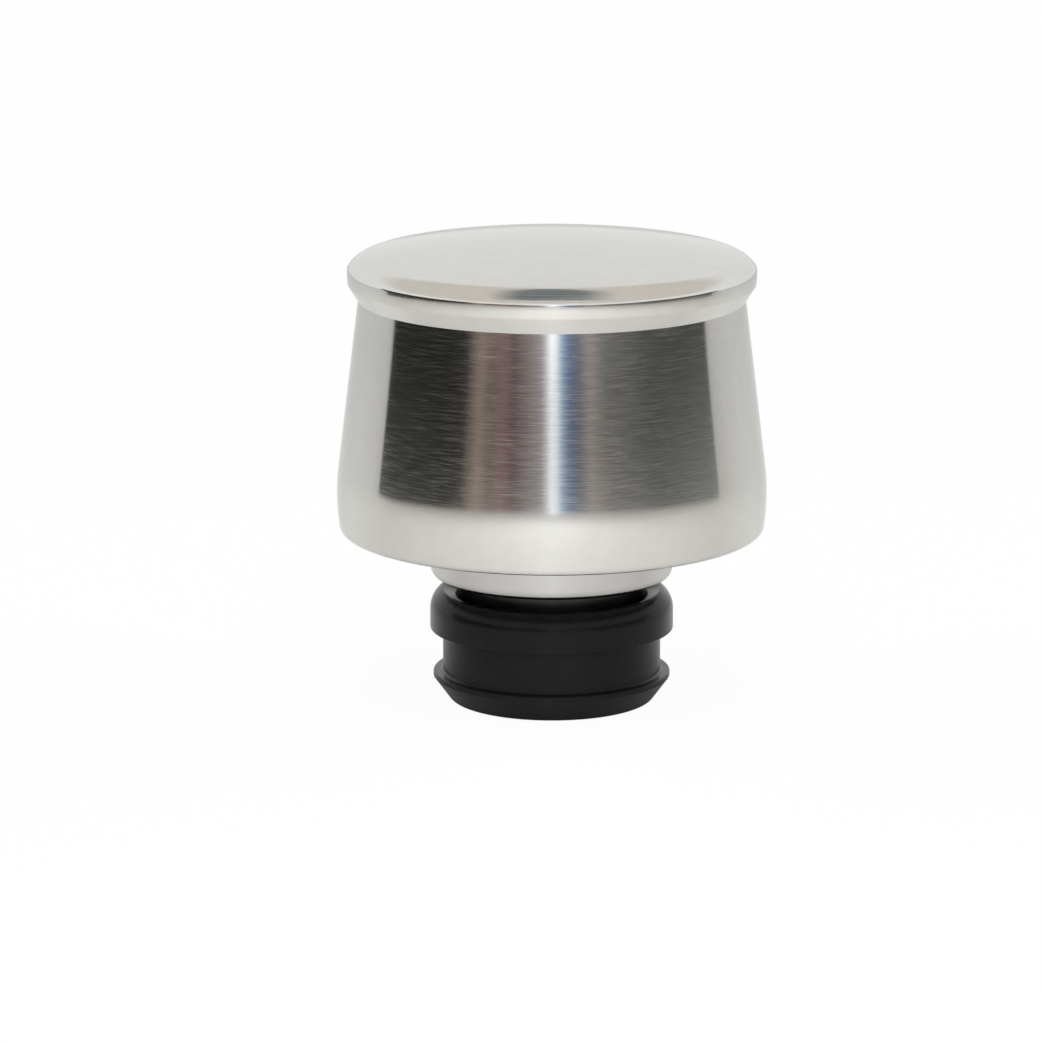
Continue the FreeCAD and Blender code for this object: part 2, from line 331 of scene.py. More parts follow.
def neck_painted_shade_finish(settings):
    """Drawn aluminium tube with a dark satin skin and faint lines along its length; the dark colour is painted
    shade under the boss and painted reflection of the black rubber around it.
    """
    material, tree, output = new_material("neck_painted_shade")
    marks = lathe_marks(tree, 1.5 * MM, 0.5 * MM)
    roughness = remap(tree, marks, (0.3, 0.7), (0.28, 0.42))
    code = settings.finishes.neck
    shade = {"Factor": marks, "A": shaded(code, 0.7), "B": linear(code)}
    tone = add(tree, "ShaderNodeMix", {"data_type": "RGBA"}, shade)
    surface = add(tree, "ShaderNodeBsdfPrincipled", inputs={
        "Base Color": tone.outputs["Result"], "Metallic": 1.0, "Roughness": roughness,
        "Specular Tint": (0.3, 0.3, 0.3, 1.0)})
    tree.links.new(surface.outputs[0], output.inputs["Surface"])
    return material


def speckled_metal(name, code, grain, rough, smooth):
    """Sheet or wire metal with a fine even grain that breaks up its shine."""
    material, tree, output = new_material(name)
    place = add(tree, "ShaderNodeTexCoord").outputs["Object"]
    noise = add(tree, "ShaderNodeTexNoise", inputs={"Vector": place, "Scale": 1 / grain, "Detail": 4.0})
    roughness = remap(tree, noise.outputs["Fac"], (0.3, 0.7), (smooth, rough))
    shade = add(tree, "ShaderNodeMix", {"data_type": "RGBA"}, {
        "Factor": noise.outputs["Fac"], "A": shaded(code, 0.8), "B": linear(code)})
    surface = add(tree, "ShaderNodeBsdfPrincipled", inputs={
        "Base Color": shade.outputs["Result"], "Metallic": 1.0, "Roughness": roughness})
    tree.links.new(surface.outputs[0], output.inputs["Surface"])
    return material


def open_cell_foam(settings):
    """Polyurethane filter foam: dark, matt, and pitted with open cells, with painted shade in the pits."""
    material, tree, output = new_material("open_cell_foam")
    place = add(tree, "ShaderNodeTexCoord").outputs["Object"]
    size = {"Vector": place, "Scale": 1 / (1.3 * MM)}
    cells = add(tree, "ShaderNodeTexVoronoi", {"feature": "SMOOTH_F1"}, size)
    # Painted shade: the pits at the cells' middles are darker than the cell walls.
    shade = add(tree, "ShaderNodeMix", {"data_type": "RGBA"}, {
        "Factor": cells.outputs["Distance"], "A": linear(FOAM_PIT_SHADE), "B": linear(settings.finishes.foam)})
    pits = {"Strength": 0.9, "Distance": 0.6 * MM, "Height": cells.outputs["Distance"]}
    normal = add(tree, "ShaderNodeBump", inputs=pits).outputs[0]
    surface = add(tree, "ShaderNodeBsdfPrincipled", inputs={
        "Base Color": shade.outputs["Result"], "Roughness": 0.9, "Normal": normal})
    tree.links.new(surface.outputs[0], output.inputs["Surface"])
    return material


def moulded_rubber(settings):
    """Black rubber from a polished mould: smooth with a soft sheen, and a faint bloom in patches."""
    material, tree, output = new_material("moulded_rubber")
    place = add(tree, "ShaderNodeTexCoord").outputs["Object"]
    bloom = add(tree, "ShaderNodeTexNoise", inputs={"Vector": place, "Scale": 1 / (5 * MM), "Detail": 5.0})
    grain = add(tree, "ShaderNodeTexNoise", inputs={"Vector": place, "Scale": 1 / (0.25 * MM), "Detail": 3.0})
    code = settings.finishes.rubber
    shade = add(tree, "ShaderNodeMix", {"data_type": "RGBA"}, {
        "Factor": bloom.outputs["Fac"], "A": shaded(code, 0.7), "B": shaded(code, 1.5)})
    roughness = remap(tree, bloom.outputs["Fac"], (0.3, 0.7), (0.17, 0.25))
    skin = {"Strength": 0.12, "Distance": 0.03 * MM, "Height": grain.outputs["Fac"]}
    normal = add(tree, "ShaderNodeBump", inputs=skin).outputs[0]
    surface = add(tree, "ShaderNodeBsdfPrincipled", inputs={
        "Base Color": shade.outputs["Result"], "Roughness": roughness, "IOR": 1.5,
        "Specular IOR Level": 0.13, "Normal": normal})
    tree.links.new(surface.outputs[0], output.inputs["Surface"])
    return material


# Turned shapes

def on_circle(centre, radius, at):
    """Point of a profile on a circle, with the angle counted upwards from the outward direction."""
    return (centre[0] + radius * math.cos(at), centre[1] + radius * math.sin(at))


def arc(centre, radius, first, last, step=math.radians(3)):
    """Points of a profile along a circle, both ends included."""
    count = max(2, math.ceil(abs(last - first) / step))
    return [on_circle(centre, radius, first + (last - first) * i / count) for i in range(count + 1)]


def run(start, end, count):
    """Points of a straight stretch, without its start."""
    return [(start[0] + (end[0] - start[0]) * i / count, start[1] + (end[1] - start[1]) * i / count)
            for i in range(1, count + 1)]


def rounded(before, corner, after, radius, step=math.radians(6)):
    """Arc that rounds a corner of a profile."""
    corner = Vector(corner)
    back = (Vector(before) - corner).normalized()
    ahead = (Vector(after) - corner).normalized()
    half = back.angle(ahead) / 2
    centre = corner + (back + ahead).normalized() * radius / math.sin(half)
    first = corner + back * radius / math.tan(half) - centre
    last = corner + ahead * radius / math.tan(half) - centre
    start = math.atan2(first.y, first.x)
    sweep = (math.atan2(last.y, last.x) - start + math.pi) % (2 * math.pi) - math.pi
    return arc(centre, radius, start, start + sweep, step)


def start_fresh():
    """Leaves nothing selected and no edit mode."""
    if bpy.context.object and bpy.context.object.mode != "OBJECT":
        bpy.ops.object.mode_set(mode="OBJECT")
    bpy.ops.object.select_all(action="DESELECT")


def turn(name, profile, segments, crisp=CRISP_ANGLE):
    """Piece turned on the axis from a closed profile of (radius, height) points."""
    start_fresh()
    bpy.ops.mesh.primitive_plane_add(size=MM)
    piece = bpy.context.object
    piece.name = piece.data.name = name
    bpy.ops.object.mode_set(mode="EDIT")
    bpy.ops.mesh.select_all(action="SELECT")
    bpy.ops.mesh.merge(type="CENTER")
    here = (0.0, 0.0)
    for index, place in enumerate(profile):
        step = (place[0] - here[0], 0, place[1] - here[1])
        here = place
        if index == 0:
            bpy.ops.transform.translate(value=step)
        elif math.hypot(step[0], step[2]) > 1e-8:
            bpy.ops.mesh.extrude_vertices_move(TRANSFORM_OT_translate={"value": step})
    bpy.ops.mesh.select_all(action="SELECT")
    bpy.ops.mesh.spin(steps=segments, angle=2 * math.pi, center=(0, 0, 0), axis=(0, 0, 1))
    bpy.ops.mesh.select_all(action="SELECT")
    bpy.ops.mesh.remove_doubles(threshold=1e-7)
    bpy.ops.mesh.normals_make_consistent(inside=False)
    bpy.ops.object.mode_set(mode="OBJECT")
    bpy.ops.object.shade_smooth_by_angle(angle=crisp)
    return piece


def dress(piece, material, node, body):
    """Gives a piece its finish and its body, and hides the CAD node that it stands in for."""
    piece.data.materials.clear()
    piece.data.materials.append(material)
    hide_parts(node)
    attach(piece, body)


def shell_profile(sizes):
    """Closed section of the shell: dome, roll, rim, cove, skirt, foot, ring groove, seat and bore."""
    underside = SHELL_LOW[2]
    skirt_top = underside + sizes.skirt_height
    cove_top = skirt_top + sizes.cove_height
    rim_radius = sizes.skirt_top_radius + sizes.cove_reach
    flare = sizes.skirt_flare
    sweep = sizes.foot_angle
    # Foot: a small round at the underside, then a wide sweep up to the straight skirt.
    inner_sweep = sizes.foot_sweep - sizes.foot_round
    round_height = underside + sizes.foot_round
    sweep_height = round_height + inner_sweep * math.sin(sweep)
    tangent_height = sweep_height + sizes.foot_sweep * math.sin(flare)
    tangent_radius = sizes.skirt_top_radius + (skirt_top - tangent_height) * math.tan(flare)
    sweep_centre = (tangent_radius - sizes.foot_sweep * math.cos(flare), sweep_height)
    round_centre = (sweep_centre[0] + inner_sweep * math.cos(sweep), round_height)
    # Lid: band, tight edge, roll and dome, each tangent to the next.
    bow_centre = on_circle((rim_radius, cove_top), -sizes.bow_radius, -sizes.bow_foot_angle)
    edge_centre = on_circle(bow_centre, sizes.bow_radius - sizes.edge_round, sizes.bow_edge_angle)
    roll_centre = on_circle(edge_centre, sizes.edge_round - sizes.roll_radius, sizes.roll_edge_angle)
    dome_drop = math.sqrt((sizes.dome_radius - sizes.roll_radius) ** 2 - roll_centre[0] ** 2)
    dome_centre = (0.0, roll_centre[1] - dome_drop)
    dome_edge = math.atan2(dome_drop, roll_centre[0])
    dome = arc(dome_centre, sizes.dome_radius, math.pi / 2, dome_edge, math.radians(0.5))
    roll = arc(roll_centre, sizes.roll_radius, dome_edge, sizes.roll_edge_angle, math.radians(2))
    edge = arc(edge_centre, sizes.edge_round, sizes.roll_edge_angle, sizes.bow_edge_angle, math.radians(3))
    band = arc(bow_centre, sizes.bow_radius, sizes.bow_edge_angle, -sizes.bow_foot_angle, math.radians(1))
    corner = (sizes.skirt_top_radius, skirt_top)
    tangent = (tangent_radius, tangent_height)
    soft = rounded(band[-2], band[-1], corner, sizes.cove_round)
    foot = arc(sweep_centre, sizes.foot_sweep, flare, -sweep, math.radians(0.8))
    foot += arc(round_centre, sizes.foot_round, -sweep, -math.pi / 2, math.radians(6))
    seat = PLATE_HIGH[0]
    groove = seat + sizes.ring_bite
    ring_low, ring_high = RING_LOW[2], RING_HIGH[2]
    plate_top = FOAM_LOW[2]
    ceiling = dome[0][1] - sizes.lid_thickness
    inside = [(seat, underside), (seat, ring_low), (groove, ring_low), (groove, ring_high), (seat, ring_high),
              (seat, plate_top), (sizes.bore_radius, plate_top), (sizes.bore_radius, ceiling), (0.0, ceiling)]
    outside = dome + roll[1:] + edge[1:] + band[1:-1] + soft
    outside += run(soft[-1], corner, 3) + run(corner, tangent, 24)
    return outside + foot[1:] + inside + [outside[0]]


class BREATHER_OT_cap_shell(Operator):
    """Turn the shell from the dome to the foot, with its bore"""

    bl_idname = "breather.cap_shell"
    bl_label = "Cap Shell"

    def execute(self, context):
        settings = context.scene.breather_cap
        shell = turn("shell_turned", shell_profile(settings.shell), settings.segments)
        finish = turned_aluminium("turned_aluminium", settings.finishes.aluminium)
        dress(shell, finish, "cap_shell", "cap")
        return {"FINISHED"}


class BREATHER_OT_base_plate(Operator):
    """Turn the base plate with its boss and drill the ring of vents"""

    bl_idname = "breather.base_plate"
    bl_label = "Base Plate"

    def execute(self, context):
        settings = context.scene.breather_cap
        sizes = settings.base
        hole = sizes.neck_radius + sizes.press_gap
        low, high = PLATE_LOW[2], PLATE_HIGH[2]
        plate_low = RING_HIGH[2]
        rim = PLATE_HIGH[0]
        boss = arc((sizes.boss_radius - sizes.boss_round, low + sizes.boss_round), sizes.boss_round,
                   -math.pi / 2, 0, math.radians(5))
        inner_corner = (sizes.boss_radius, plate_low)
        profile = [(hole, high), (hole, low)] + boss + run(boss[-1], inner_corner, 3)
        profile += rounded(inner_corner, (rim, plate_low), (rim, high), sizes.edge_round)
        profile += rounded((rim, plate_low), (rim, high), (hole, high), sizes.edge_round) + [(hole, high)]
        plate = turn("base_plate_turned", profile, settings.segments)
        drill_vents(plate, sizes, (FOAM_HIGH[0] + FOAM_BORE) / 2, plate_low, high)
        # Darker plate aluminium: painted shade under the cap.
        finish = turned_aluminium("plate_aluminium", settings.finishes.plate)
        dress(plate, finish, "base_plate", "cap")
        return {"FINISHED"}


def drill_vents(plate, sizes, circle, low, high):
    """Cuts the ring of vents with drills that pass right through."""
    start_fresh()
    deep = 4 * (high - low)
    for index in range(sizes.vent_count):
        place = 2 * math.pi * (index + 0.5) / sizes.vent_count
        centre = (circle * math.cos(place), circle * math.sin(place), (low + high) / 2)
        bpy.ops.mesh.primitive_cylinder_add(
            vertices=VENT_STEPS, radius=sizes.vent_radius, depth=deep, location=centre)
        bpy.context.object.name = "drill"
    drills = [o for o in bpy.data.objects if o.name.startswith("drill")]
    for drill in drills:
        drill.select_set(True)
    bpy.ops.object.join()
    drill = bpy.context.object
    start_fresh()
    plate.select_set(True)
    bpy.context.view_layer.objects.active = plate
    cut = plate.modifiers.new("vents", "BOOLEAN")
    cut.operation = "DIFFERENCE"
    cut.solver = "EXACT"
    cut.object = drill
    bpy.ops.object.modifier_apply(modifier=cut.name)
    bpy.ops.object.shade_smooth_by_angle(angle=CRISP_ANGLE)
    bpy.data.objects.remove(drill)


class BREATHER_OT_neck_tube(Operator):
    """Turn the neck's tube with its collar and chamfer"""

    bl_idname = "breather.neck_tube"
    bl_label = "Neck Tube"

    def execute(self, context):
        settings = context.scene.breather_cap
        sizes = settings.base
        bore = sizes.neck_radius - sizes.neck_wall
        low, high = NECK_LOW[2], NECK_HIGH[2]
        seat = high - sizes.collar_thickness
        collar = NECK_HIGH[0]
        profile = [(bore, high), (bore, low), (sizes.neck_radius - sizes.neck_chamfer, low),
                   (sizes.neck_radius, low + sizes.neck_chamfer), (sizes.neck_radius, seat), (collar, seat)]
        profile += rounded((collar, seat), (collar, high), (bore, high), sizes.edge_round) + [(bore, high)]
        neck = turn("neck_tube_drawn", profile, settings.segments)
        dress(neck, neck_painted_shade_finish(settings), "neck_tube", "cap")
        return {"FINISHED"}


class BREATHER_OT_grommet(Operator):
    """Mould the grommet: nose, lips, groove, rolled mouth and the ledge under the neck"""

    bl_idname = "breather.grommet"
    bl_label = "Grommet"

    def execute(self, context):
        settings = context.scene.breather_cap
        sizes = settings.grommet
        base = settings.base
        bore = base.neck_radius + sizes.bore_gap
        ledge_bore = base.neck_radius - base.neck_wall
        groove = sizes.groove_radius
        lower = groove + sizes.lower_lip_reach
        upper = groove + sizes.upper_lip_reach
        foot = GROMMET_LOW[2]
        nose_top = foot + sizes.nose_height
        lip_top = nose_top + sizes.lower_lip_edge
        groove_top = lip_top + sizes.groove_width
        wall_top = groove_top + sizes.upper_lip_wall
        rim_end = math.pi / 2 + sizes.mouth_slope
        lip_centre = (upper - sizes.upper_lip_round, wall_top)
        rim_centre = on_circle(lip_centre, sizes.upper_lip_round - sizes.rim_round, sizes.rim_angle)
        slope_start = on_circle(rim_centre, sizes.rim_round, rim_end)
        mouth = bore + sizes.mouth_gap
        mouth_height = slope_start[1] - (slope_start[0] - mouth) * math.tan(sizes.mouth_slope)
        lead_end = (bore, mouth_height - sizes.mouth_lead)
        ledge = foot + sizes.ledge
        nose = lower - sizes.nose_taper
        soft = sizes.lip_edge_round
        profile = [(ledge_bore, foot)]
        profile += rounded((ledge_bore, foot), (nose, foot), (lower, nose_top), sizes.nose_round)
        profile += rounded((nose, foot), (lower, nose_top), (lower, lip_top), soft)
        profile += rounded((lower, nose_top), (lower, lip_top), (groove, lip_top), soft)
        profile += rounded((lower, lip_top), (groove, lip_top), (groove, groove_top), sizes.groove_round)
        profile += rounded((groove, lip_top), (groove, groove_top), (upper, groove_top), sizes.groove_round / 2)
        profile += rounded((groove, groove_top), (upper, groove_top), (upper, wall_top), soft)
        profile += arc(lip_centre, sizes.upper_lip_round, 0, sizes.rim_angle)
        profile += arc(rim_centre, sizes.rim_round, sizes.rim_angle, rim_end, math.radians(6))[1:]
        profile += rounded(slope_start, (mouth, mouth_height), lead_end, sizes.mouth_round)
        profile += [lead_end, (bore, ledge), (ledge_bore, ledge), (ledge_bore, foot)]
        grommet = turn("grommet_moulded", profile, settings.segments, math.radians(40))
        dress(grommet, moulded_rubber(settings), "grommet", "grommet")
        return {"FINISHED"}


class BREATHER_OT_filter_element(Operator):
    """Cut the foam ring that stands over the vents"""

    bl_idname = "breather.filter_element"
    bl_label = "Filter Element"

    def execute(self, context):
        settings = context.scene.breather_cap
        low, high = FOAM_LOW[2], FOAM_HIGH[2]
        outer = FOAM_HIGH[0]
        inner = FOAM_BORE
        corners = [(inner, low), (outer, low), (outer, high), (inner, high)]
        profile = []
        for index, corner in enumerate(corners):
            profile += rounded(corners[index - 1], corner, corners[(index + 1) % 4], FOAM_ROUND)
        foam = turn("filter_foam", profile + profile[:1], settings.segments // 2)
        dress(foam, open_cell_foam(settings), "filter_element", "cap")
        return {"FINISHED"}


class BREATHER_OT_inner_metal(Operator):
    """Finish the snap ring, the splash baffle, its rivets and the screen"""

    bl_idname = "breather.inner_metal"
    bl_label = "Inner Metal"

    def execute(self, context):
        finishes = context.scene.breather_cap.finishes
        # Oiled spring steel is dark and smooth; zinc plate is bright with a cloudy spangle.
        spring = speckled_metal("oiled_spring_steel", finishes.spring_steel, 0.6 * MM, 0.45, 0.3)
        zinc = speckled_metal("zinc_plated_sheet", finishes.zinc, 1.8 * MM, 0.5, 0.28)
        rivet = speckled_metal("plain_aluminium_rivet", finishes.rivet, 0.5 * MM, 0.45, 0.35)
        coats = {"snap_ring": spring, "splash_baffle": zinc, "filter_screen": zinc, "baffle_rivets": rivet}
        for name, material in coats.items():
            for slot in frame["nodes"][name].material_slots:
                slot.material = material
        return {"FINISHED"}


# Stage

# Name, place, width and height, and power of each lamp, and whether shiny surfaces show it.
LAMPS = (
    ("softbox", (0.0, -0.3, 0.42), (0.2, 0.25), 1.25, False),
    ("front_box", (0.0, -0.72, 0.52), (0.45, 0.12), 0.06, True),
)
LAMP_AIM = Vector((0, -0.05, 0.03))

# Floor, a hair under the grommet, and how much of it the eye sees as plain white.
FLOOR_RADIUS = 6.0
FLOOR_DROP = 0.02 * MM
FLOOR_STEPS = 96
PAPER_GLOW = 0.96

# Bearings in degrees from the front, to either side, with the paper's tone there: painted light, brightest to the
# front and darker to the sides, as if lit from the front.
PAPER_LIGHT_STOPS = [
    (0, "#F6F6F5"), (20, "#ECEBEA"), (40, "#E6E5E4"), (65, "#E1E0DE"), (90, "#DEDDDB"), (125, "#F4F4F3"),
    (180, "#F6F6F5"),
]

# Distances and bearings over which the table takes over from the paper, and how much it does.
TABLE_DISTANCE = (0.2, 0.45)
TABLE_SHARE = 0.6
TABLE_FRONT = (math.radians(12), math.radians(50))
TABLE_BACK = (math.radians(85), math.radians(110))

# Bearings in degrees from the front, counted to the right, with the colour of what stands there.
ROOM_STOPS = [
    (-112, "#242523"), (-60, "#1B1C1B"), (-49, "#282625"), (-40, "#7B6D65"), (-34, "#605651"), (-26, "#6F5657"),
    (-21, "#544648"), (-12, "#726A68"), (-6, "#827D80"), (-3, "#B4B3B8"), (-1, "#EEF0F5"), (2, "#DCE3EE"),
    (5, "#8597AF"), (9, "#566580"), (14, "#5A5D67"), (20, "#837A77"), (29, "#636261"), (55, "#484948"),
    (112, "#464845"),
]
ROOM_STEPS = 96

# Sway of the bearings: waves to a metre of height, and the turn to either side.
SWAY_WAVES = 90.0
SWAY_TURN = 0.03

# Light of the room: height where it is darkest, level there, and growth with the square of the distance.
DARKEST_HEIGHT = 0.062
DARKEST_LEVEL = 1.17
LEVEL_GROWTH = 1100.0

# Ends of the room: heights between which they lean, their bearings there, and the turn of both.
LEAN_HEIGHTS = (0.037, 0.085)
LEAN_BEARINGS = (math.radians(99.5), math.radians(105))
ROOM_TURN = math.radians(2.7)

# Folds of the cloth in the gap: waves to a metre, tones, wander of the ends, and where the cloth fades.
FOLD_WAVES = (4.0, 30.0, 1.0)
FOLD_STOPS = [(0.3, "#6B7274"), (0.75, "#A0A5A5")]
FOLD_WANDER = 0.04
GAP_FADE = (0.45, 1.0)

# Light of the surroundings, and the sine of the elevation over which the ceiling sets in.
WORLD_LIGHT = 0.76
CEILING_START = (0.5, 0.64)
CEILING_TONE = "#E4DFD8"


def paper_sweep(settings):
    """Matt white paper with painted light, brightest to the front, on a warmer table; it keeps the cap's soft
    shadow.
    """
    material, tree, output = new_material("white_paper")
    place = add(tree, "ShaderNodeTexCoord").outputs["Object"]
    aside = maths(tree, "ABSOLUTE", bearing_of(tree, place))
    share = maths(tree, "DIVIDE", aside, math.pi)
    # Painted light: the paper's tone by bearing, brightest to the front.
    painted_light_tone = colour_stops(tree, share, [(degrees / 180, code) for degrees, code in PAPER_LIGHT_STOPS])
    reach = add(tree, "ShaderNodeVectorMath", {"operation": "LENGTH"}, {0: place}).outputs["Value"]
    beyond = remap(tree, reach, TABLE_DISTANCE, (0.0, TABLE_SHARE))
    turned = remap(tree, aside, TABLE_FRONT)
    behind = remap(tree, aside, TABLE_BACK, (1.0, 0.0))
    table = maths(tree, "MULTIPLY", maths(tree, "MULTIPLY", beyond, turned), behind)
    tones = {"Factor": table, "A": painted_light_tone, "B": linear(settings.finishes.table)}
    colour = add(tree, "ShaderNodeMix", {"data_type": "RGBA"}, tones).outputs["Result"]
    paper = add(tree, "ShaderNodeBsdfDiffuse", inputs={"Color": colour}).outputs[0]
    glow = add(tree, "ShaderNodeEmission", inputs={"Color": (1, 1, 1, 1), "Strength": 1.0}).outputs[0]
    path = add(tree, "ShaderNodeLightPath").outputs
    seen = maths(tree, "MULTIPLY", path["Is Camera Ray"], PAPER_GLOW)
    mixed = add(tree, "ShaderNodeMixShader", inputs={0: seen, 1: paper, 2: glow}).outputs[0]
    # Clear from below, so that the underside of the cap can be looked at.
    below = add(tree, "ShaderNodeNewGeometry").outputs["Backfacing"]
    clear = add(tree, "ShaderNodeBsdfTransparent").outputs[0]
    sheet = add(tree, "ShaderNodeMixShader", inputs={0: below, 1: mixed, 2: clear}).outputs[0]
    tree.links.new(sheet, output.inputs["Surface"])
    return material


def dark_room(name, stops, rise):
    """Unlit room beyond the paper, with the few lit things in it, placed by their bearing from the front."""
    material, tree, output = new_material(name)
    place = add(tree, "ShaderNodeTexCoord").outputs["Object"]
    height = add(tree, "ShaderNodeSeparateXYZ", inputs={0: place}).outputs["Z"]
    bearing = bearing_of(tree, place)
    # Nothing in the room hangs quite straight, so each bearing wanders a little with the height.
    rows = maths(tree, "MULTIPLY", height, SWAY_WAVES)
    noise = add(tree, "ShaderNodeTexNoise", {"noise_dimensions": "1D"}, {"W": rows, "Scale": 1.0}).outputs["Fac"]
    sway = remap(tree, noise, (0.0, 1.0), (-SWAY_TURN, SWAY_TURN))
    where = remap(tree, maths(tree, "ADD", bearing, sway), (-math.pi, math.pi))
    colour = colour_stops(tree, where, [((degrees + 180) / 360, code) for degrees, code in stops])
    off = maths(tree, "SUBTRACT", height, DARKEST_HEIGHT)
    level = maths(tree, "MULTIPLY_ADD", maths(tree, "MULTIPLY", off, off), LEVEL_GROWTH, DARKEST_LEVEL)
    glow = add(tree, "ShaderNodeEmission", inputs={"Color": colour, "Strength": level}).outputs[0]
    # The lower edge rises to the front, and the ends lean outwards.
    foot = maths(tree, "MULTIPLY", maths(tree, "COSINE", bearing), rise)
    below = maths(tree, "LESS_THAN", height, foot)
    aside = maths(tree, "ABSOLUTE", maths(tree, "ADD", bearing, ROOM_TURN))
    end = remap(tree, height, LEAN_HEIGHTS, LEAN_BEARINGS)
    gone = maths(tree, "MAXIMUM", below, maths(tree, "GREATER_THAN", aside, end))
    clear = add(tree, "ShaderNodeBsdfTransparent").outputs[0]
    wall = add(tree, "ShaderNodeMixShader", inputs={0: gone, 1: glow, 2: clear}).outputs[0]
    tree.links.new(wall, output.inputs["Surface"])
    return material


def softbox_gap(stage):
    """Gap between the softboxes: grey cloth in soft folds from side to side, which fades out at both ends."""
    material, tree, output = new_material("softbox_gap")
    place = add(tree, "ShaderNodeTexCoord").outputs["Object"]
    axes = add(tree, "ShaderNodeSeparateXYZ", inputs={0: place}).outputs
    drawn = add(tree, "ShaderNodeVectorMath", {"operation": "MULTIPLY"}, {0: place, 1: FOLD_WAVES}).outputs[0]
    noise = add(tree, "ShaderNodeTexNoise", inputs={"Vector": drawn, "Scale": 1.0, "Detail": 1.0}).outputs["Fac"]
    colour = colour_stops(tree, noise, FOLD_STOPS)
    glow = add(tree, "ShaderNodeEmission", inputs={"Color": colour, "Strength": 1.0}).outputs[0]
    half = remap(tree, axes["Y"], (-stage.gap_front, stage.gap_back), (stage.gap_front_half, stage.gap_back_half))
    share = maths(tree, "DIVIDE", maths(tree, "ABSOLUTE", axes["X"]), half)
    wander = remap(tree, noise, (0.3, 0.7), (-FOLD_WANDER, FOLD_WANDER))
    gone = remap(tree, maths(tree, "ADD", share, wander), GAP_FADE)
    clear = add(tree, "ShaderNodeBsdfTransparent").outputs[0]
    cloth = add(tree, "ShaderNodeMixShader", inputs={0: gone, 1: glow, 2: clear}).outputs[0]
    tree.links.new(cloth, output.inputs["Surface"])
    return material


def only_in_reflections(card):
    """A card that shows only in shiny surfaces and takes no light away."""
    card.visible_camera = False
    card.visible_diffuse = False
    card.visible_shadow = False
    card.visible_transmission = False


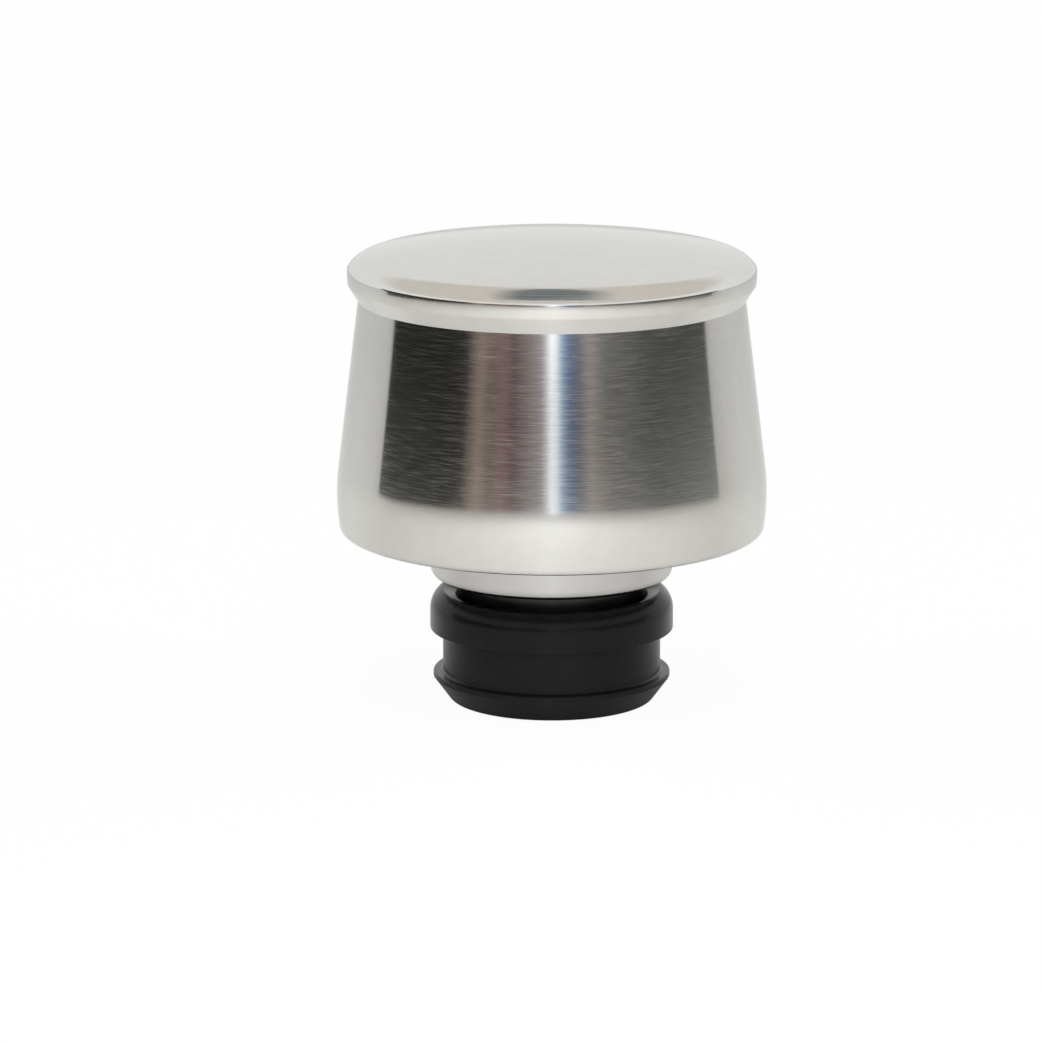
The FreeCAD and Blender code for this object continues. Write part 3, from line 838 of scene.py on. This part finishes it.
class BREATHER_OT_stage(Operator):
    """Set the floor, the light, the dark room in front and the camera"""

    bl_idname = "breather.stage"
    bl_label = "Stage"

    def execute(self, context):
        settings = context.scene.breather_cap
        self.floor(settings)
        self.room(settings.stage)
        self.gap(settings.stage)
        self.lamps()
        self.world(context.scene)
        self.camera(context.scene, settings.stage)
        context.scene.view_settings.view_transform = "Standard"
        return {"FINISHED"}

    @staticmethod
    def floor(settings):
        start_fresh()
        bpy.ops.mesh.primitive_circle_add(
            vertices=FLOOR_STEPS, radius=FLOOR_RADIUS, fill_type="NGON", location=(0, 0, -FLOOR_DROP))
        floor = bpy.context.object
        floor.name = "floor"
        floor.data.materials.append(paper_sweep(settings))

    @staticmethod
    def room(stage):
        """Wall of the dark room, from the floor up, around the front."""
        start_fresh()
        bpy.ops.mesh.primitive_plane_add(size=MM)
        room = bpy.context.object
        room.name = "dark_room"
        bpy.ops.object.mode_set(mode="EDIT")
        bpy.ops.mesh.select_all(action="SELECT")
        bpy.ops.mesh.merge(type="CENTER")
        first = -math.pi / 2 - stage.room_angle
        corner = (stage.room_radius * math.cos(first), stage.room_radius * math.sin(first), 0)
        bpy.ops.transform.translate(value=corner)
        bpy.ops.mesh.extrude_vertices_move(TRANSFORM_OT_translate={"value": (0, 0, stage.room_height)})
        bpy.ops.mesh.select_all(action="SELECT")
        bpy.ops.mesh.spin(steps=ROOM_STEPS, angle=-2 * stage.room_angle, center=(0, 0, 0), axis=(0, 0, 1))
        bpy.ops.object.mode_set(mode="OBJECT")
        room.data.materials.append(dark_room("dark_room", ROOM_STOPS, stage.room_rise))
        only_in_reflections(room)

    @staticmethod
    def gap(stage):
        """Dark gap between the softboxes overhead, which narrows to the back."""
        start_fresh()
        middle = (stage.gap_back - stage.gap_front) / 2
        bpy.ops.mesh.primitive_plane_add(size=1, location=(0, middle, stage.gap_height))
        gap = bpy.context.object
        gap.name = "softbox_gap"
        gap.scale = (4 * stage.gap_front_half, stage.gap_back + stage.gap_front, 1)
        bpy.ops.object.transform_apply(location=True, rotation=True, scale=True)
        gap.data.materials.append(softbox_gap(stage))
        only_in_reflections(gap)

    @staticmethod
    def lamps():
        """A softbox over the front, and a faint low box over the camera that shiny surfaces show."""
        for name, place, size, power, shows in LAMPS:
            start_fresh()
            bpy.ops.object.light_add(type="AREA", location=place)
            lamp = bpy.context.object
            lamp.name = name
            lamp.data.shape = "RECTANGLE"
            lamp.data.size, lamp.data.size_y = size
            lamp.data.energy = power
            lamp.visible_glossy = shows
            lamp.rotation_euler = (LAMP_AIM - lamp.location).to_track_quat("-Z", "Y").to_euler()

    @staticmethod
    def world(scene):
        """White surroundings under a warmer ceiling for the eye and shiny surfaces, softer as a light."""
        world = bpy.data.worlds.new("white_studio")
        scene.world = world
        world.use_nodes = True
        tree = world.node_tree
        tree.nodes.clear()
        path = add(tree, "ShaderNodeLightPath").outputs
        seen = maths(tree, "MAXIMUM", path["Is Camera Ray"], path["Is Glossy Ray"])
        seen = maths(tree, "MAXIMUM", seen, path["Is Transmission Ray"])
        lit = {"Color": (1, 1, 1, 1), "Strength": WORLD_LIGHT}
        soft = add(tree, "ShaderNodeBackground", inputs=lit).outputs[0]
        place = add(tree, "ShaderNodeTexCoord").outputs["Generated"]
        height = add(tree, "ShaderNodeSeparateXYZ", inputs={0: place}).outputs["Z"]
        upper = remap(tree, height, CEILING_START)
        tones = {"Factor": upper, "A": (1, 1, 1, 1), "B": linear(CEILING_TONE)}
        colour = add(tree, "ShaderNodeMix", {"data_type": "RGBA"}, tones).outputs["Result"]
        white = add(tree, "ShaderNodeBackground", inputs={"Color": colour, "Strength": 1.0}).outputs[0]
        mixed = add(tree, "ShaderNodeMixShader", inputs={0: seen, 1: soft, 2: white}).outputs[0]
        add(tree, "ShaderNodeOutputWorld", inputs={"Surface": mixed})

    @staticmethod
    def camera(scene, stage):
        """Camera in front, a little above the lid, looking down at the foot."""
        data = bpy.data.cameras.new("camera")
        camera = bpy.data.objects.new("camera", data)
        scene.collection.objects.link(camera)
        camera.location = (-stage.aim_side, -stage.camera_distance, stage.camera_height)
        dip = math.atan2(stage.camera_height - stage.aim_height, stage.camera_distance)
        camera.rotation_euler = (math.pi / 2 - dip, 0, 0)
        data.lens = data.sensor_width * stage.focal_pixels / IMAGE_SIZE
        data.clip_start = 0.01
        data.clip_end = 50
        scene.camera = camera


class BREATHER_PT_panel(Panel):
    """Lists the pieces of the cap and the stage"""

    bl_label = "Breather Cap"
    bl_idname = "BREATHER_PT_panel"
    bl_space_type = "VIEW_3D"
    bl_region_type = "UI"
    bl_category = "Breather Cap"

    def draw(self, context):
        layout = self.layout
        for operator in OPERATORS:
            layout.operator(operator.bl_idname)
        settings = context.scene.breather_cap
        layout.prop(settings, "segments")
        for group in (settings.shell, settings.base, settings.grommet, settings.finishes, settings.stage):
            box = layout.box()
            for name in group.bl_rna.properties.keys():
                if name not in ("rna_type", "name"):
                    box.prop(group, name)


OPERATORS = (
    BREATHER_OT_cap_shell,
    BREATHER_OT_base_plate,
    BREATHER_OT_neck_tube,
    BREATHER_OT_grommet,
    BREATHER_OT_filter_element,
    BREATHER_OT_inner_metal,
    BREATHER_OT_stage,
)
GROUPS = (ShellSizes, BaseSizes, GrommetSizes, Finishes, StageSizes, CapSettings)
CLASSES = GROUPS + OPERATORS + (BREATHER_PT_panel,)


def register():
    for cls in CLASSES:
        bpy.utils.register_class(cls)
    bpy.types.Scene.breather_cap = PointerProperty(type=CapSettings)


def unregister():
    del bpy.types.Scene.breather_cap
    for cls in reversed(CLASSES):
        bpy.utils.unregister_class(cls)


def main():
    register()
    bpy.ops.breather.cap_shell()
    bpy.ops.breather.base_plate()
    bpy.ops.breather.neck_tube()
    bpy.ops.breather.grommet()
    bpy.ops.breather.filter_element()
    bpy.ops.breather.inner_metal()
    bpy.ops.breather.stage()


if __name__ == "__main__":
    main()
